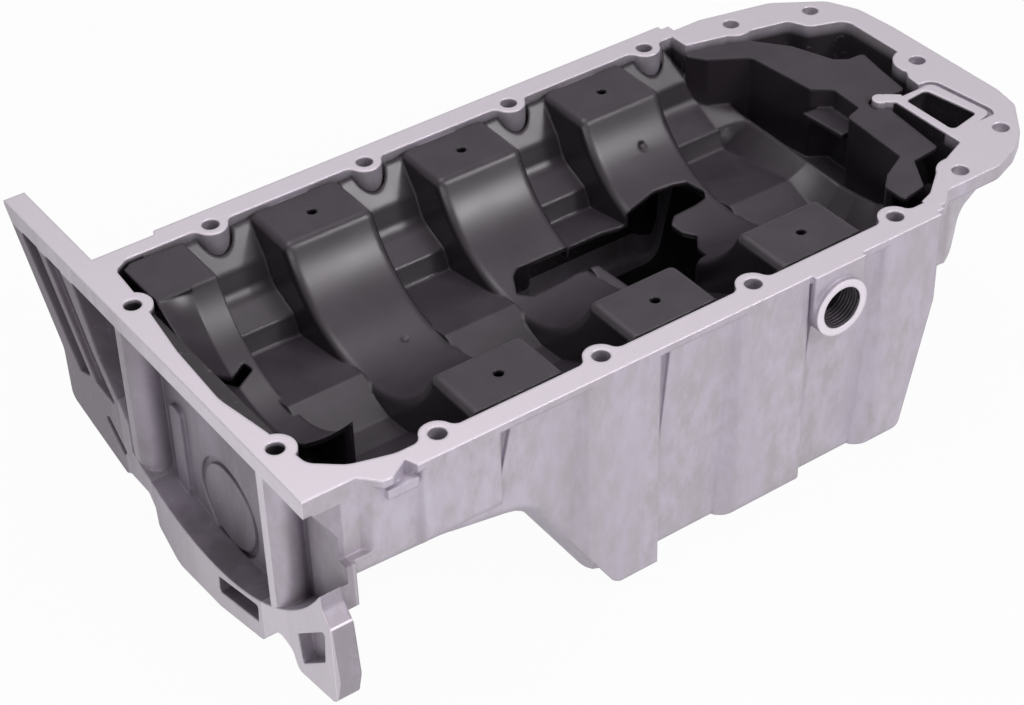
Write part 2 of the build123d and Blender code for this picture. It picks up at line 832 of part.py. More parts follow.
def under_bridge(drop):
    """Everything under a bearing bridge: two pads and the round sweep of the crank."""
    half = sqrt(crank_sweep_r ** 2 - (crank_z - pad_z) ** 2)
    with BuildSketch() as shape:
        with Locations((0, -45 - drop / 2 + pad_z / 2)):
            Rectangle(2 * tray_y, 90 + pad_z - drop)
        with BuildLine():
            ThreePointArc((-half, pad_z - drop), (0, crank_z - crank_sweep_r - drop), (half, pad_z - drop))
            Line((half, pad_z - drop), (-half, pad_z - drop))
        make_face(mode=Mode.SUBTRACT)
    return shape.sketch


def under_trough(drop):
    """Everything under a trough of the tray."""
    return under(trough_far + trough_near, trough_r, drop)


def under_line(line):
    """Everything under an open line across the tray."""
    shape = [(line[0][0], -90)] + line + [(line[-1][0], -90)]
    return outline(Plane.XY, shape, 0)


def under_level(z):
    """Everything under a level."""
    return outline(Plane.XY, [(-tray_y, -90), (-tray_y, z), (tray_y, z), (tray_y, -90)], 0)


def band(x, length, upper, lower):
    """A length of tray between two areas that are seen along its axis."""
    with BuildPart() as piece:
        with BuildSketch(bell_plane(x)):
            add(upper)
            add(lower, mode=Mode.SUBTRACT)
        extrude(amount=length)
    return piece.part


def bridge_shell(c):
    """One bearing bridge with soft edges, and its side walls down to the troughs."""
    start = c - bridge_left
    length = bridge_left + bridge_right
    with BuildPart() as shell:
        with BuildSketch(bell_plane(start)):
            add(under_bridge(0))
        extrude(amount=length)
        rims = ShapeList()
        for edge in shell.edges():
            box = edge.bounding_box()
            if box.max.Z > -80 and abs(edge.center().Y) < tray_y - 1:
                rims.append(edge)
        fillet(rims, radius=bridge_edge_r)
        with BuildSketch(bell_plane(start + tray_t)):
            add(under_bridge(tray_t))
        extrude(amount=length - 2 * tray_t, mode=Mode.SUBTRACT)
        with BuildSketch(bell_plane(start - 1)):
            add(under_bridge(tray_t))
            add(under_trough(tray_t), mode=Mode.INTERSECT)
        extrude(amount=length + 2, mode=Mode.SUBTRACT)
    return shell.part


def skin(start_x, start, end_x, end):
    """A ruled wall of the tray between two open lines with as many points."""
    with BuildPart() as piece:
        for x, line in ((start_x, start), (end_x, end)):
            lower = [(y, z - tray_t) for y, z in reversed(line)]
            with BuildSketch(bell_plane(x)):
                with BuildLine():
                    Polyline(*line, *lower, close=True)
                make_face()
        loft(ruled=True)
    return piece.part


def end_slope():
    """The slope between the shallow end edge of the tray and its first deep arc."""
    half = sqrt(crank_sweep_r ** 2 - (crank_z - pad_z) ** 2)
    with BuildPart() as piece:
        for x, middle in ((tray_end_x, end_edge_mid), (tray_arc_x, (0, crank_z - crank_sweep_r))):
            with BuildSketch(bell_plane(x)):
                with BuildLine():
                    ThreePointArc((-half, pad_z), middle, (half, pad_z))
                    Line((half, pad_z), (half, pad_z - tray_t))
                    low_middle = (middle[0], middle[1] - tray_t)
                    ThreePointArc((half, pad_z - tray_t), low_middle, (-half, pad_z - tray_t))
                    Line((-half, pad_z - tray_t), (-half, pad_z))
                make_face()
        loft(ruled=True)
        with BuildSketch(bell_plane(tray_end_x)):
            with Locations((half + 20, pad_z - tray_t / 2)):
                Rectangle(40 + tray_t, tray_t)
        extrude(amount=tray_arc_x - tray_end_x)
    return piece.part


# Inside of the rail, where the tray may reach, with room round each bolt boss
with BuildSketch() as tray_plan:
    with Locations((-7, 0)):
        Rectangle(276, 2 * rail_inner_y)
    add(outline(Plane.XY, bell_mouth, bell_mouth_r))
    add(outline(Plane.XY, mouth_plan, mouth_plan_r))
    offset(amount=-tray_clearance - 1)
    with Locations(*[(x, side * rail_bolt_y) for x in rail_bolt_x for side in sides]):
        Circle(rail_boss_r + tray_clearance, mode=Mode.SUBTRACT)
    with Locations(*bell_bolts):
        Circle(bell_boss_r + tray_clearance, mode=Mode.SUBTRACT)

# Windage tray
with BuildPart() as windage_tray:
    bridge = under_bridge(0)
    bridge_low = under_bridge(tray_t)
    trough = under_trough(0)
    trough_low = under_trough(tray_t)
    starts = [tray_first_x] + [c + bridge_right for c in bearings]
    ends = [c - bridge_left for c in bearings] + [tray_last_x]
    for start, end in zip(starts, ends):
        add(band(start, end - start, trough, trough_low))
    for c in bearings:
        add(bridge_shell(c))
        for x in (c - bridge_left, c + bridge_right - tray_t):
            add(band(x, tray_t, trough, bridge_low))
    # Bell end: an arc over the last bearing and a slope down to it from the end edge
    add(band(tray_arc_x, tray_first_x - tray_arc_x, bridge, bridge_low))
    add(band(tray_first_x - tray_t, tray_t, bridge, trough_low))
    add(band(tray_first_x - tray_t, tray_t, trough, bridge_low))
    add(end_slope())
    # Front end: the trough runs out in a funnel under the deck
    add(skin(tray_last_x, funnel_start, tray_ramp_x, funnel_end))
    deck_face = outline(Plane.XY, deck_plan, deck_r)
    with BuildSketch(Plane.XY.offset(deck_z)):
        add(deck_face)
    extrude(amount=-tray_t)
    # Deep well between the ridge and the upright wall under the edge of the deck
    with BuildSketch(Plane.XY.offset(deck_z)):
        add(deck_face)
        offset(deck_face, amount=-tray_t, mode=Mode.SUBTRACT)
        add(outline(Plane.XY, deck_wall_side, 0), mode=Mode.INTERSECT)
    extrude(amount=well_z - tray_t - deck_z)
    extrude(outline(Plane.XY.offset(well_z), well_plan, 0), amount=-tray_t)
    extrude(outline(Plane.XY.offset(deck_tab_z), deck_tab, 0), amount=-tray_t)
    add(band(tray_ramp_x - tray_t, tray_t, under_line(funnel_end), under_level(well_z)))
    # Cut to the inside of the rail, the open corner, the strainer opening and the holes
    extrude(tray_plan.sketch, amount=-deep, mode=Mode.INTERSECT)
    extrude(outline(Plane.XY, open_corner, 0), amount=-deep, mode=Mode.SUBTRACT)
    extrude(lug_face(duct_lug_r, tray_clearance), amount=-deep, mode=Mode.SUBTRACT)
    with BuildSketch(Plane.XY):
        with Locations((slot_x, slot_y)):
            RectangleRounded(slot_length, slot_w, 1, rotation=slot_turn)
    extrude(amount=-deep, mode=Mode.SUBTRACT)
    extrude(outline(Plane.XY, opening_plan, opening_r), amount=-deep, mode=Mode.SUBTRACT)
    with Locations(*[(c + pad_hole_x, side * pad_hole_y) for c in bearings for side in sides]):
        Cylinder(pad_hole_d / 2, deep, mode=Mode.SUBTRACT)
    for x, y, radius in dimples:
        # The ball's middle lies on the line from the surface to the crank's axis
        reach = 1 - (radius - dimple_depth) / crank_sweep_r
        with Locations((x, y * reach, crank_z - reach * sqrt(crank_sweep_r ** 2 - y ** 2))):
            Sphere(radius, mode=Mode.SUBTRACT)

pieces = {
    "pan_casting": pan_casting.part,
    "windage_tray": windage_tray.part,
    "drain_plug": drain_plug.part,
    "drain_washer": drain_washer.part,
    "pickup_tube": pickup_tube.part,
    "pickup_seal": pickup_seal.part,
    "pickup_screen": pickup_screen.part,
    "pickup_screw_1": pickup_screw(-1),
    "pickup_screw_2": pickup_screw(1),
}

os.makedirs("parts", exist_ok=True)
for label, piece in pieces.items():
    piece.label = label
    export_step(piece, f"parts/{label}.step")
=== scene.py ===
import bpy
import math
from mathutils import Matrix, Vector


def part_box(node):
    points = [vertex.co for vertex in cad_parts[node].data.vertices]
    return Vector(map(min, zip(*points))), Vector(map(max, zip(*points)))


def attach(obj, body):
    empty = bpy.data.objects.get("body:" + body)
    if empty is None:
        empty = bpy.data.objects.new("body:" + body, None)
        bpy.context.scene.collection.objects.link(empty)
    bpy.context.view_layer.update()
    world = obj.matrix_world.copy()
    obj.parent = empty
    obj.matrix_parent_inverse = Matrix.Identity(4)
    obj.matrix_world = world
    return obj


bl_info = {
    "name": "Engine oil pan",
    "version": (1, 0, 0),
    "blender": (4, 5, 0),
    "location": "3D View > Sidebar > Oil pan",
    "description": "Finishes a cast oil pan, its windage tray and its small parts, and sets a pale stage",
    "category": "Object",
}

from bpy.props import FloatProperty, FloatVectorProperty, IntProperty, PointerProperty
from mathutils import Matrix, Vector

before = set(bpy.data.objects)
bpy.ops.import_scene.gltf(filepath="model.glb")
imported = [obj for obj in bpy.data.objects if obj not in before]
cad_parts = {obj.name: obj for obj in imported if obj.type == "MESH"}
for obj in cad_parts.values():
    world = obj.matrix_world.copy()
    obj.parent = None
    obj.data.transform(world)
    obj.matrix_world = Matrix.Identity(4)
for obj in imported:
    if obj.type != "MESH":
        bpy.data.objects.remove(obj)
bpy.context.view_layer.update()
pan_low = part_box("pan_casting")[0]

# Places on the casting, in metres along the frame's axes, as its solid has them.
# The sensor port: where its axis meets its face, and its bore
port_centre = (0.083, -0.112, -0.022)
port_radius = 0.011
port_inner_y = -0.08
# A colour reaches this far past the face or wall that it is for, and this deep behind a milled face
reach = 0.0005
milled_depth = 0.0002
# The joint face is all above the one, and the bell face all beyond the other
joint_face_z = -0.0004
bell_face_x = -0.1976
# The recess of the bell housing flange: its floor, the rail over it, its two half columns and its near end
recess_x = -0.1795
recess_top_z = -0.0095
column_x = -0.1855
column_y = 0.062
column_reach = 0.012
recess_near_y = -0.0735
# The suction duct
duct_x = (0.1955, 0.2205)
duct_y = (-0.0575, -0.0199)
duct_floor_z = -0.0325
duct_shade_z = -0.0008
# The inside: where the front well and the inner slope of the bell end start, and its two end walls.
# Above bell_step_z the bell end's wall stands further out by bell_step
front_well_x = 0.142
bell_slope_x = -0.165
nose_wall_x = 0.2300
bell_wall_x = -0.1808
bell_step = 0.014
bell_step_z = -0.0092
# The boss of the nose bolt stands in the front wall
nose_bolt_x = 0.2314
nose_boss_radius = 0.0105
# The sump's walls lean in as they go down, and its floor rises at its sides. The front well lies
# a little to the far side
wall_lean = 0.049
floor_side_y = 0.082
floor_side_rise = 0.016
front_well_shift = 0.0012
# Along the casting, the middle of its side walls' thickness at the joint face, and of its floor's
inner_side = (
    (-0.2, 0.0966), (-0.150, 0.0966), (-0.140, 0.1003), (0.141, 0.1003), (0.152, 0.0947), (0.164, 0.0873),
    (0.170, 0.0830), (0.176, 0.0771), (0.182, 0.0766), (0.194, 0.0732), (0.200, 0.0713), (0.206, 0.0683),
    (0.218, 0.0605), (0.222, 0.0588), (0.2285, 0.0510), (0.2417, 0.0300))
inner_floor = (
    (-0.183, -0.0512), (-0.133, -0.0522), (-0.0885, -0.0585), (-0.0440, -0.1290), (0.1310, -0.1290),
    (0.1480, -0.0563), (0.1860, -0.0563), (0.1950, -0.0345), (0.2417, -0.0345))
# Height at which the painted shade of the inside starts, and how steeply it comes in
sump_shade = (-0.006, 90)
front_well_shade = (-0.002, 180)
bell_slope_shade = (-0.001, 690)

# The tray's pads are its level faces above this height
pad_z = -0.0035

# The lamps: name, the setting that holds the power, width and height, and place in metres
lamps = (
    ("key lamp", "key", (0.9, 0.7), (0.15, -1.2, 0.95)),
    ("front lamp", "front", (0.22, 0.22), (0.60, -0.94, 0.74)),
    ("fill lamp", "fill", (0.3, 0.3), (-0.6, -0.6, 0.1)),
    ("top lamp", "top", (1.0, 0.6), (-0.1, 0.35, 1.4)),
)
lamp_aim = Vector((0, 0, -0.05))
lamp_colour = (1.0, 0.965, 1.0)

# The stage: a wide floor just below the sump, and the slopes of an upward look between which the pale
# horizon fades
floor_size = 16
floor_gap = 0.0002
horizon_fade = (0.15, 0.26)
sky_colour = (1, 0.99, 1)

# The camera, fitted to the bolt holes and the pads in the photograph: its place in metres and its axes
camera_place = (-0.5414765, -0.7543417, 0.65853)
camera_right = (0.81344529, -0.58110969, -0.0248654)
camera_up = (0.37728616, 0.49462863, 0.78294167)
camera_back = (-0.44267585, -0.64626159, 0.62159798)
camera_sensor = 36
camera_lens = 85.37
camera_clip = 0.01


class CastingFinish(bpy.types.PropertyGroup):
    """Aluminium of the casting: its skin and its machined faces."""

    skin: FloatVectorProperty(
        name="Cast skin", description="Colour of the rough cast skin", subtype="COLOR",
        default=(0.508, 0.468, 0.536), min=0, max=1)
    skin_warm: FloatVectorProperty(
        name="Warm patches", description="Colour of the duller, warmer patches of the skin", subtype="COLOR",
        default=(0.452, 0.416, 0.447), min=0, max=1)
    skin_bloom: FloatVectorProperty(
        name="Pale bloom", description="Colour of the whitish bloom on the skin", subtype="COLOR",
        default=(0.560, 0.521, 0.597), min=0, max=1)
    # Painted shade: the darker colour of the flange recess, which the faces that look down take too
    recess: FloatVectorProperty(
        name="Flange recess", description="Colour of the dull skin in the flange recess", subtype="COLOR",
        default=(0.31, 0.28, 0.335), min=0, max=1)
    # Random stains in the recess, and painted shade that deepens towards its far side
    recess_stain_and_shade: FloatVectorProperty(
        name="Recess stain", description="Colour of the brownish stains in the recess", subtype="COLOR",
        default=(0.175, 0.150, 0.178), min=0, max=1)
    machined: FloatVectorProperty(
        name="Machined face", description="Colour of the milled joint faces", subtype="COLOR",
        default=(0.81, 0.755, 0.82), min=0, max=1)
    # Painted shade: the dark colour that the inside, the duct and the port's bore take
    inside: FloatVectorProperty(
        name="Inside", description="Colour of the dark skin inside the pan and its duct", subtype="COLOR",
        default=(0.034, 0.029, 0.034), min=0, max=1)
    skin_roughness: FloatProperty(
        name="Skin roughness", description="Roughness of the cast skin", default=0.5, min=0, max=1)
    machined_roughness: FloatProperty(
        name="Machined roughness", description="Roughness of the milled faces", default=0.49, min=0, max=1)
    metallic: FloatProperty(
        name="Metallic", description="How metallic the skin and the milled faces are",
        default=0.6, min=0, max=1)
    recess_metallic: FloatProperty(
        name="Recess metallic", description="How metallic the dull recess is", default=0.4, min=0, max=1)
    edge: FloatProperty(
        name="Edge round", description="Radius of the soft cast edges", subtype="DISTANCE",
        default=0.0016, min=0, max=0.01)


class TrayFinish(bpy.types.PropertyGroup):
    """Black moulding of the windage tray."""

    colour: FloatVectorProperty(
        name="Moulding", description="Colour of the moulding", subtype="COLOR",
        default=(0.022, 0.0175, 0.023), min=0, max=1)
    # Painted light: the lighter colour of the faces that look up
    painted_top_light: FloatVectorProperty(
        name="Dusty", description="Colour of the grained faces that look up", subtype="COLOR",
        default=(0.058, 0.046, 0.061), min=0, max=1)
    roughness: FloatProperty(
        name="Roughness", description="Roughness of the smooth troughs", default=0.29, min=0, max=1)
    pad_roughness: FloatProperty(
        name="Pad roughness", description="Roughness of the grained pads", default=0.58, min=0, max=1)
    gloss: FloatProperty(
        name="Gloss", description="Index of refraction of the moulding", default=1.62, min=1, max=3)
    edge: FloatProperty(
        name="Edge round", description="Radius of the moulded edges", subtype="DISTANCE",
        default=0.0022, min=0, max=0.01)


class SmallPartsFinish(bpy.types.PropertyGroup):
    """Plated steel, soft aluminium and rubber."""

    plating: FloatVectorProperty(
        name="Plating", description="Colour of the zinc plating", subtype="COLOR",
        default=(0.62, 0.62, 0.6), min=0, max=1)
    plating_roughness: FloatProperty(
        name="Plating roughness", description="Roughness of the zinc plating", default=0.34, min=0, max=1)
    washer: FloatVectorProperty(
        name="Washer", description="Colour of the soft washer", subtype="COLOR",
        default=(0.72, 0.72, 0.73), min=0, max=1)
    washer_roughness: FloatProperty(
        name="Washer roughness", description="Roughness of the soft washer", default=0.4, min=0, max=1)
    rubber: FloatVectorProperty(
        name="Rubber", description="Colour of the seal", subtype="COLOR",
        default=(0.022, 0.022, 0.022), min=0, max=1)
    rubber_roughness: FloatProperty(
        name="Rubber roughness", description="Roughness of the seal", default=0.65, min=0, max=1)


class PortThread(bpy.types.PropertyGroup):
    """Thread of the oil level sensor's port."""

    centre: FloatVectorProperty(
        name="Centre", description="Where the port's axis meets its face", subtype="XYZ", unit="LENGTH",
        default=port_centre)
    radius: FloatProperty(
        name="Radius", description="Radius of the bore", subtype="DISTANCE", default=port_radius, min=0.001)
    pitch: FloatProperty(
        name="Pitch", description="Advance of one turn", subtype="DISTANCE", default=0.0018, min=0.0005)
    crest: FloatProperty(
        name="Crest", description="Radius of the ridge as a share of the pitch",
        default=0.42, min=0.1, max=0.6)
    inset: FloatProperty(
        name="Inset", description="Depth of the first turn in the port", subtype="DISTANCE", default=0.0012)
    turns: IntProperty(
        name="Turns", description="Number of turns", default=7, min=1, max=20)
    steps: IntProperty(
        name="Steps", description="Faces along one turn", default=40, min=8, max=100)


class StageSettings(bpy.types.PropertyGroup):
    """Floor, surroundings and lamps."""

    floor: FloatVectorProperty(
        name="Floor", description="Colour of the floor", subtype="COLOR",
        default=(0.62, 0.62, 0.62), min=0, max=1)
    backdrop: FloatProperty(
        name="Backdrop", description="Brightness with which the floor and the horizon are seen",
        default=0.96, min=0, max=1)
    surround: FloatProperty(
        name="Surround", description="Strength of the soft light above the pale horizon", default=0.18, min=0)
    sky: FloatProperty(
        name="Sky", description="Strength that the soft light gains towards the top", default=0.40, min=0)
    key: FloatProperty(
        name="Key lamp", description="Power of the large lamp at the near side", default=4.3, min=0)
    front: FloatProperty(
        name="Front lamp", description="Power of the small lamp at the front cover end", default=5.0, min=0)
    fill: FloatProperty(
        name="Fill lamp", description="Power of the small lamp at the bell housing end", default=1.6, min=0)
    top: FloatProperty(
        name="Top lamp", description="Power of the lamp above", default=6.5, min=0)


class Signal:
    """One output of a node, with the operators of arithmetic."""

    def __init__(self, nodes, socket):
        self.nodes = nodes
        self.socket = socket

    def maths(self, operation, *values):
        return self.nodes.node("ShaderNodeMath", {"operation": operation}, dict(enumerate(values)))

    def __add__(self, other):
        return self.maths("ADD", self, other)

    def __sub__(self, other):
        return self.maths("SUBTRACT", self, other)

    def __rsub__(self, other):
        return self.maths("SUBTRACT", other, self)

    def __mul__(self, other):
        return self.maths("MULTIPLY", self, other)

    def __lt__(self, other):
        return self.maths("LESS_THAN", self, other)

    def __gt__(self, other):
        return self.maths("GREATER_THAN", self, other)

    def __abs__(self):
        return self.maths("ABSOLUTE", self)

    __radd__ = __add__
    __rmul__ = __mul__


class Nodes:
    """A tree of nodes that is written as expressions."""

    def __init__(self, owner):
        owner.use_nodes = True
        self.tree = owner.node_tree
        self.tree.nodes.clear()

    def feed(self, socket, value):
        """Links a signal to the socket, or sets its value. A colour of three numbers gets full alpha."""
        if isinstance(value, Signal):
            self.tree.links.new(value.socket, socket)
        elif isinstance(value, (int, float)):
            socket.default_value = value
        else:
            missing = len(socket.default_value) - len(value)
            socket.default_value = [*value, *[1.0] * missing]

    def node(self, kind, settings=None, values=None, output=0):
        """A new node: its settings come first, a ramp's stops among them, and then its sockets."""
        made = self.tree.nodes.new(kind)
        for key, value in (settings or {}).items():
            if key == "stops":
                self.set_stops(made.color_ramp, value)
            else:
                setattr(made, key, value)
        for key, value in (values or {}).items():
            self.feed(made.inputs[key], value)
        if made.outputs:
            return Signal(self, made.outputs[output])

    def set_stops(self, ramp, stops):
        while len(ramp.elements) < len(stops):
            ramp.elements.new(0.5)
        for element, (place, level) in zip(ramp.elements, stops):
            element.position = place
            element.color = (level, level, level, 1)

    def outputs(self, signal, *names):
        """More outputs of the node that the signal comes from."""
        sockets = signal.socket.node.outputs
        return [Signal(self, sockets[name]) for name in names]

    def seen(self):
        """1 for rays that look, mirror or shine through, and 0 for those that carry light."""
        camera, glossy, through = self.outputs(
            self.node("ShaderNodeLightPath"), "Is Camera Ray", "Is Glossy Ray", "Is Transmission Ray")
        return self.limit(camera + glossy + through)

    def limit(self, value):
        """The value, kept between 0 and 1."""
        return self.node("ShaderNodeClamp", values={"Value": value})

    def ramp(self, value, *stops):
        """Levels at places between 0 and 1, joined by straight runs."""
        return self.node("ShaderNodeValToRGB", {"stops": stops}, {"Fac": value})

    def blend(self, factor, first, second):
        """From the first number to the second."""
        return self.node("ShaderNodeMix", {"data_type": "FLOAT"}, {0: factor, 2: first, 3: second})

    def mix(self, factor, first, second):
        """From the first colour to the second."""
        return self.node("ShaderNodeMix", {"data_type": "RGBA"}, {0: factor, 6: first, 7: second}, output=2)


class Shader(Nodes):
    """A material, with the place in metres and the upward look of each point."""

    def __init__(self, name):
        self.material = bpy.data.materials.new(name)
        super().__init__(self.material)
        self.point = self.node("ShaderNodeTexCoord", output="Object")
        parts = self.node("ShaderNodeSeparateXYZ", values={0: self.point})
        self.x, self.y, self.z = self.outputs(parts, *"XYZ")
        facing = self.node("ShaderNodeNewGeometry", output="Normal")
        self.upward = self.node("ShaderNodeSeparateXYZ", values={0: facing}, output="Z")

    def noise(self, scale, detail, roughness, point=None):
        return self.node("ShaderNodeTexNoise", values={
            "Vector": point or self.point, "Scale": scale, "Detail": detail, "Roughness": roughness})

    def stretched(self, size, turn=(0, 0, 0), shift=(0, 0, 0)):
        """The point, for a pattern that is drawn out, turned or shifted."""
        return self.node("ShaderNodeMapping", values={
            "Vector": self.point, "Location": shift, "Rotation": turn, "Scale": size})

    def along(self, place, *stops):
        """Levels at places in metres, all within half a metre of nought, joined by straight runs."""
        return self.ramp(place + 0.5, *((metres + 0.5, level) for metres, level in stops))

    def profile(self, place, points):
        """The same for levels that may be below nought, down to -0.5."""
        return self.along(place, *((metres, level + 0.5) for metres, level in points)) - 0.5

    def above(self, value, edge, steepness):
        """0 up to the edge, and past it a steep rise to 1."""
        return self.limit((value - edge) * steepness)

    def below(self, value, edge, steepness):
        """0 down to the edge, and past it a steep rise to 1."""
        return self.limit((edge - value) * steepness)

    def between(self, value, low, high):
        return (value > low) * (value < high)

    def within(self, radius, first, second):
        """1 within the radius of nought, measured along two axes."""
        return first * first + second * second < radius ** 2

    def bump(self, height, distance, strength, normal=None):
        values = {"Height": height, "Distance": distance, "Strength": strength}
        if normal:
            values["Normal"] = normal
        return self.node("ShaderNodeBump", values=values)

    def soft_edges(self, radius):
        return self.node("ShaderNodeBevel", {"samples": 6}, {"Radius": radius})

    def surface(self, **inputs):
        """The finished material. The inputs are the sockets' names, with _ for a space."""
        values = {name.replace("_", " "): value for name, value in inputs.items()}
        look = self.node("ShaderNodeBsdfPrincipled", values=values)
        self.node("ShaderNodeOutputMaterial", values={"Surface": look})
        return self.material


def scaled(colour, share):
    """The colour, made darker or lighter."""
    return [part * share for part in colour]


def varied(middle, noise, spread):
    """The middle value, which the noise moves by up to half the spread either way."""
    return middle - spread / 2 + noise * spread


def dress(node, material):
    """The CAD node takes the material in all its slots."""
    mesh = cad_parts[node].data
    if not mesh.materials:
        mesh.materials.append(material)
    for index in range(len(mesh.materials)):
        mesh.materials[index] = material


def flange_recess_shade(shader):
    """Painted shade over the recess of the bell housing flange, weaker on its half columns and at its near
    end.
    """
    floor = shader.below(shader.x, recess_x, steepness=900)
    under_rail = shader.below(shader.z, recess_top_z, steepness=1500)
    columns = shader.between(abs(shader.y), column_y - column_reach, column_y + column_reach)
    columns = columns * shader.below(shader.x, column_x, steepness=250)
    # Painted shade: the near column gets less of it than the far one
    columns_less_shaded = columns * (0.35 + 0.5 * (shader.y < 0.0))
    near_end_less_shaded = 0.55 * (shader.y < recess_near_y)
    return floor * under_rail * (1.0 - columns_less_shaded) * (1.0 - near_end_less_shaded)


def painted_inside_shade(shader):
    """Painted shade on the inside of the walls, starting just below the rail."""
    x, y, z = shader.x, shader.y, shader.z
    front, bell = x > front_well_x, x < bell_slope_x
    side = shader.profile(x, inner_side) + z * wall_lean * (1.0 - front)
    floor = shader.profile(x, inner_floor) + (abs(y) > floor_side_y) * floor_side_rise
    end = bell_wall_x - bell_step * (z > bell_step_z)
    inside = (abs(y - front_well_shift * front) < side) * (z > floor) * (x > end) * (x < nose_wall_x)
    inside = inside * (1.0 - shader.within(nose_boss_radius, x - nose_bolt_x, y))
    start, steepness = (
        shader.blend(bell, shader.blend(front, in_sump, in_well), on_slope)
        for in_sump, in_well, on_slope in zip(sump_shade, front_well_shade, bell_slope_shade))
    return inside * shader.below(z, start, steepness)


def suction_duct_shade(shader):
    # Painted shade in the suction duct, from just below its mouth down to its floor
    duct = shader.between(shader.x, *duct_x) * shader.between(shader.y, *duct_y)
    return duct * (shader.z > duct_floor_z) * shader.below(shader.z, duct_shade_z, steepness=1500)


def port_bore_shade(shader):
    """Painted shade on the wall of the bore, from just behind the port's face inwards."""
    across, face_y, height = port_centre
    bore = shader.within(port_radius + reach, shader.x - across, shader.z - height)
    return bore * shader.between(shader.y, face_y + reach, port_inner_y)


def milled_faces(shader):
    """The joint face, the bell face, and the face of the sensor port. On the bell face the milled colour
    gives way to painted shade towards the far side.
    """
    joint = shader.z > joint_face_z
    # Painted shade: less of the milled colour on the bell face, and almost none at its far side
    bell = (shader.x < bell_face_x) * shader.along(shader.y, (0.0, 0.6), (0.07, 0.04))
    port = shader.between(shader.y, port_centre[1] - reach, port_centre[1] + milled_depth)
    return shader.limit(joint + bell + port)


def cast_aluminium(finish):
    shader = Shader("cast aluminium")
    # The patterns are drawn out upright, as runs in a mould are
    upright = shader.stretched((1, 1, 0.35))
    cloud = shader.noise(scale=34, detail=5, roughness=0.62, point=upright)
    upright = shader.stretched((1, 1, 0.35), shift=(3.1, 1.7, 0.4))
    bloom = shader.noise(scale=21, detail=4, roughness=0.6, point=upright)
    mottle = shader.noise(scale=130, detail=4, roughness=0.62, point=shader.stretched((1, 1, 0.5)))
    fine = shader.noise(scale=420, detail=4, roughness=0.65)
    grain = shader.noise(scale=1500, detail=2, roughness=0.6)
    # Skin: warm patches and a whitish bloom, and painted shade on faces that look down
    warm = shader.ramp(cloud * 0.55 + mottle * 0.45, (0.40, 1.0), (0.56, 0.0))
    pale = shader.ramp(bloom * 0.55 + mottle * 0.45, (0.48, 0.0), (0.63, 0.9))
    skin = shader.mix(pale, shader.mix(warm, finish.skin, finish.skin_warm), finish.skin_bloom)
    painted_underside_shade = shader.ramp(shader.upward * -1, (0.2, 0.0), (0.6, 0.75))
    skin = shader.mix(painted_underside_shade, skin, finish.recess)
    # Recess: painted shade with random stains, and more painted shade towards its far side
    recess = flange_recess_shade(shader)
    far_side_shade = shader.along(shader.y, (0.04, 0.0), (0.10, 0.8))
    stain_and_far_shade = shader.limit(shader.ramp(cloud * 0.55 + bloom * 0.45, (0.42, 0.9), (0.6, 0.0)) + far_side_shade)
    skin = shader.mix(recess, skin, shader.mix(stain_and_far_shade, finish.recess, finish.recess_stain_and_shade))
    # Painted shade: the inside, the duct and the port's bore darken towards the dark colour
    inside = painted_inside_shade(shader)
    dark = shader.limit(inside + suction_duct_shade(shader) + port_bore_shade(shader) * 0.85)
    skin = shader.mix(dark, skin, finish.inside)
    # Milled faces, smeared a little; on the bell face, painted shade takes their place towards the far side
    milled = milled_faces(shader)
    smear = shader.ramp(shader.noise(scale=70, detail=5, roughness=0.6), (0.3, 0.9), (0.7, 1.0))
    bright = shader.mix(smear, scaled(finish.machined, 0.85), finish.machined)
    colour = shader.mix(milled, skin, bright)
    # Faint pale specks all over
    specks = shader.ramp(shader.noise(scale=260, detail=3, roughness=0.7), (0.27, 0.8), (0.38, 1.0))
    colour = shader.mix(1.0 - specks, colour, scaled(finish.machined, 0.75))
    # Pebbled skin, and faint cutter marks that run across the milled faces
    across = shader.stretched((1.0, 0.05, 1.0), turn=(0, 0, math.radians(24)))
    marks = shader.noise(scale=900, detail=2, roughness=0.5, point=across)
    pebbles = fine * 0.6 + grain * 0.25 + mottle * 0.6
    height = shader.blend(milled, pebbles, marks * 0.12 + grain * 0.08)
    return shader.surface(
        Base_Color=colour,
        Roughness=shader.blend(
            milled, varied(finish.skin_roughness, fine, 0.16), varied(finish.machined_roughness, fine, 0.14)),
        Metallic=shader.blend(recess, finish.metallic, finish.recess_metallic) * (1.0 - inside),
        Normal=shader.bump(height, distance=0.00022, strength=0.5, normal=shader.soft_edges(finish.edge)))


def black_moulding(finish):
    shader = Shader("black moulding")
    level = shader.above(shader.upward, 0.985, steepness=90)
    pads = level * shader.above(shader.z, pad_z, steepness=2000)
    cloud = shader.noise(scale=45, detail=4, roughness=0.6)
    grain = shader.noise(scale=1400, detail=2, roughness=0.7)
    # Painted light: faces that look up are lighter, as if lit from above
    dust_and_top_light = shader.ramp(shader.upward, (0.3, 0.0), (0.95, 1.0))
    colour = shader.mix(dust_and_top_light, finish.colour, finish.painted_top_light)
    smooth = varied(finish.roughness, cloud, 0.1) + dust_and_top_light * 0.12
    height = grain * (0.25 + pads * 0.75)
    return shader.surface(
        Base_Color=shader.mix(cloud, scaled(finish.colour, 0.8), colour),
        Roughness=shader.blend(pads, smooth, finish.pad_roughness),
        IOR=finish.gloss,
        Normal=shader.bump(height, distance=0.00012, strength=0.45, normal=shader.soft_edges(finish.edge)))


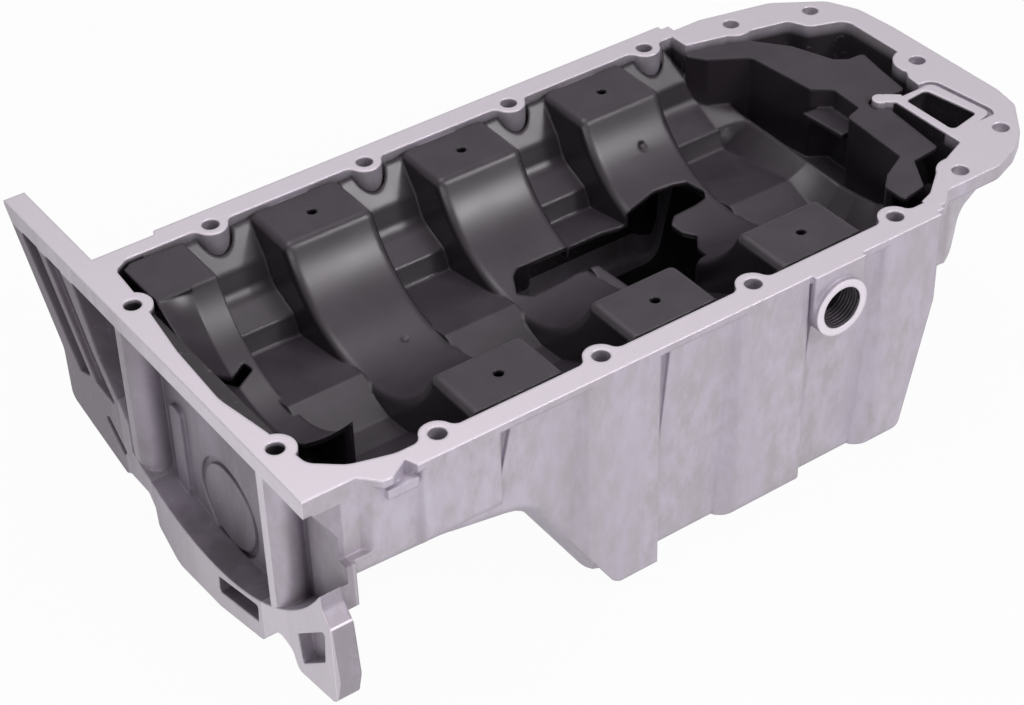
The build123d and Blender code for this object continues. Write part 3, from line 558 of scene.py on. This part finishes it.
def plated_steel(finish):
    shader = Shader("plated steel")
    cloud = shader.noise(scale=90, detail=4, roughness=0.6)
    fine = shader.noise(scale=900, detail=3, roughness=0.6)
    return shader.surface(
        Base_Color=shader.mix(cloud, scaled(finish.plating, 0.85), finish.plating),
        Metallic=1.0,
        Roughness=varied(finish.plating_roughness, cloud, 0.16),
        Normal=shader.bump(fine, distance=0.00005, strength=0.4, normal=shader.soft_edges(0.0005)))


def soft_aluminium(finish):
    shader = Shader("soft aluminium")
    mottle = shader.noise(scale=600, detail=3, roughness=0.6)
    return shader.surface(
        Base_Color=shader.mix(mottle, scaled(finish.washer, 0.85), finish.washer),
        Metallic=1.0,
        Roughness=varied(finish.washer_roughness, mottle, 0.2),
        Normal=shader.bump(mottle, distance=0.00004, strength=0.4, normal=shader.soft_edges(0.0003)))


def seal_rubber(finish):
    shader = Shader("seal rubber")
    dust_and_top_light = shader.noise(scale=300, detail=3, roughness=0.6)
    return shader.surface(
        Base_Color=shader.mix(dust_and_top_light, finish.rubber, scaled(finish.rubber, 1.6)),
        Roughness=varied(finish.rubber_roughness, dust_and_top_light, 0.2),
        Normal=shader.bump(dust_and_top_light, distance=0.00005, strength=0.5))


def deselect():
    bpy.ops.object.select_all(action="DESELECT")


def settle(piece):
    """The piece's place goes into its mesh, and its object to the origin."""
    deselect()
    piece.select_set(True)
    bpy.context.view_layer.objects.active = piece
    bpy.ops.object.transform_apply(location=True, rotation=True, scale=True)


class OILPAN_OT_casting(bpy.types.Operator):
    """Gives the casting its cast skin and its machined faces"""

    bl_idname = "oilpan.casting"
    bl_label = "Casting finish"

    def execute(self, context):
        dress("pan_casting", cast_aluminium(context.scene.oilpan_casting))
        return {"FINISHED"}


class OILPAN_OT_tray(bpy.types.Operator):
    """Gives the windage tray its black moulding"""

    bl_idname = "oilpan.tray"
    bl_label = "Tray finish"

    def execute(self, context):
        dress("windage_tray", black_moulding(context.scene.oilpan_tray))
        return {"FINISHED"}


class OILPAN_OT_small_parts(bpy.types.Operator):
    """Gives the pickup, the drain plug and their fixings their finishes"""

    bl_idname = "oilpan.small_parts"
    bl_label = "Small parts finish"

    def execute(self, context):
        finish = context.scene.oilpan_small
        plating = plated_steel(finish)
        for node in ("drain_plug", "pickup_tube", "pickup_screen", "pickup_screw_1", "pickup_screw_2"):
            dress(node, plating)
        dress("drain_washer", soft_aluminium(finish))
        dress("pickup_seal", seal_rubber(finish))
        return {"FINISHED"}


class OILPAN_OT_port_thread(bpy.types.Operator):
    """Lays the thread into the sensor port: one ridge that winds inwards"""

    bl_idname = "oilpan.port_thread"
    bl_label = "Port thread"

    def execute(self, context):
        thread = context.scene.oilpan_thread
        deselect()
        bpy.ops.mesh.primitive_circle_add(
            vertices=3, radius=thread.pitch * thread.crest, fill_type="NOTHING",
            location=(thread.radius, 0, 0), rotation=(math.radians(90), 0, 0))
        ridge = context.active_object
        ridge.name = "sensor_port_thread"
        settle(ridge)
        winding = ridge.modifiers.new("winding", "SCREW")
        winding.axis = "Z"
        winding.angle = math.tau * thread.turns
        winding.screw_offset = thread.pitch * thread.turns
        winding.steps = winding.render_steps = thread.steps * thread.turns
        bpy.ops.object.modifier_apply(modifier=winding.name)
        bpy.ops.object.mode_set(mode="EDIT")
        bpy.ops.mesh.select_all(action="SELECT")
        bpy.ops.mesh.remove_doubles(threshold=0.00001)
        bpy.ops.mesh.fill_holes(sides=4)
        bpy.ops.mesh.normals_make_consistent(inside=False)
        bpy.ops.object.mode_set(mode="OBJECT")
        bpy.ops.object.shade_smooth_by_angle(angle=math.radians(35))
        ridge.rotation_euler = (math.radians(-90), 0, 0)
        ridge.location = Vector(thread.centre) + Vector((0, thread.inset, 0))
        settle(ridge)
        ridge.data.materials.append(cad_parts["pan_casting"].data.materials[0])
        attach(ridge, "root")
        return {"FINISHED"}


def lay_floor(stage):
    """A wide floor that is seen nearly white, with a faint shadow, and gives light by its own colour."""
    deselect()
    bpy.ops.mesh.primitive_plane_add(size=floor_size, location=(0, 0, pan_low.z - floor_gap))
    floor = bpy.context.active_object
    floor.name = "floor"
    settle(floor)
    pale = Shader("pale floor")
    tooth = pale.noise(scale=60, detail=3, roughness=0.6)
    colour = pale.mix(tooth, scaled(stage.floor, 0.98), stage.floor)
    matt = pale.node("ShaderNodeBsdfDiffuse", values={"Color": colour})
    white = pale.node("ShaderNodeEmission", values={"Color": (1, 1, 1), "Strength": 1.0})
    both = pale.node("ShaderNodeMixShader", values={0: pale.seen() * stage.backdrop, 1: matt, 2: white})
    pale.node("ShaderNodeOutputMaterial", values={"Surface": both})
    floor.data.materials.append(pale.material)


def light_surround(scene, stage):
    """Soft light from all round, stronger towards the top. The horizon is pale only where it is seen."""
    scene.world = bpy.data.worlds.new("surround")
    nodes = Nodes(scene.world)
    low, high = horizon_fade
    direction = nodes.node("ShaderNodeTexCoord", output="Generated")
    height = nodes.node("ShaderNodeSeparateXYZ", values={0: direction}, output="Z")
    soft = nodes.ramp(height, (high, stage.surround), (1.0, stage.surround + stage.sky))
    horizon = nodes.ramp(height, (low, 1.0), (high, 0.0))
    strength = nodes.blend(nodes.seen() * horizon, soft, stage.backdrop)
    light = nodes.node("ShaderNodeBackground", values={"Color": sky_colour, "Strength": strength})
    nodes.node("ShaderNodeOutputWorld", values={"Surface": light})


def hang_lamps(stage):
    for name, setting, (width, height), place in lamps:
        deselect()
        bpy.ops.object.light_add(type="AREA", location=place)
        lamp = bpy.context.active_object
        lamp.name = name
        lamp.data.shape = "RECTANGLE"
        lamp.data.size = width
        lamp.data.size_y = height
        lamp.data.energy = getattr(stage, setting)
        lamp.data.color = lamp_colour
        lamp.rotation_euler = (lamp_aim - Vector(place)).to_track_quat("-Z", "Y").to_euler()


def set_camera(scene):
    deselect()
    bpy.ops.object.camera_add()
    camera = bpy.context.active_object
    camera.name = "camera"
    turn = Matrix((camera_right, camera_up, camera_back)).transposed()
    camera.matrix_world = Matrix.Translation(camera_place) @ turn.to_4x4()
    camera.data.sensor_width = camera_sensor
    camera.data.lens = camera_lens
    camera.data.clip_start = camera_clip
    scene.camera = camera


class OILPAN_OT_stage(bpy.types.Operator):
    """Sets the pale floor, the soft light, the lamps and the camera"""

    bl_idname = "oilpan.stage"
    bl_label = "Stage"

    def execute(self, context):
        stage = context.scene.oilpan_stage
        context.scene.view_settings.view_transform = "Standard"
        lay_floor(stage)
        light_surround(context.scene, stage)
        hang_lamps(stage)
        set_camera(context.scene)
        return {"FINISHED"}


class OILPAN_PT_sidebar(bpy.types.Panel):
    """Lists the settings and the steps that dress the oil pan"""

    bl_idname = "OILPAN_PT_sidebar"
    bl_label = "Oil pan"
    bl_space_type = "VIEW_3D"
    bl_region_type = "UI"
    bl_category = "Oil pan"

    def draw(self, context):
        for group in groups:
            settings = getattr(context.scene, group)
            column = self.layout.column()
            for key in settings.__annotations__:
                column.prop(settings, key)
        for step in steps:
            self.layout.operator(step.bl_idname)


groups = {
    "oilpan_casting": CastingFinish,
    "oilpan_tray": TrayFinish,
    "oilpan_small": SmallPartsFinish,
    "oilpan_thread": PortThread,
    "oilpan_stage": StageSettings,
}
steps = (
    OILPAN_OT_casting,
    OILPAN_OT_tray,
    OILPAN_OT_small_parts,
    OILPAN_OT_port_thread,
    OILPAN_OT_stage,
)


def register():
    for kind in (*groups.values(), *steps, OILPAN_PT_sidebar):
        bpy.utils.register_class(kind)
    for name, kind in groups.items():
        setattr(bpy.types.Scene, name, PointerProperty(type=kind))


def unregister():
    for name in groups:
        delattr(bpy.types.Scene, name)
    for kind in reversed((*groups.values(), *steps, OILPAN_PT_sidebar)):
        bpy.utils.unregister_class(kind)


def main():
    register()
    bpy.ops.oilpan.casting()
    bpy.ops.oilpan.tray()
    bpy.ops.oilpan.small_parts()
    bpy.ops.oilpan.port_thread()
    bpy.ops.oilpan.stage()


if __name__ == "__main__":
    main()
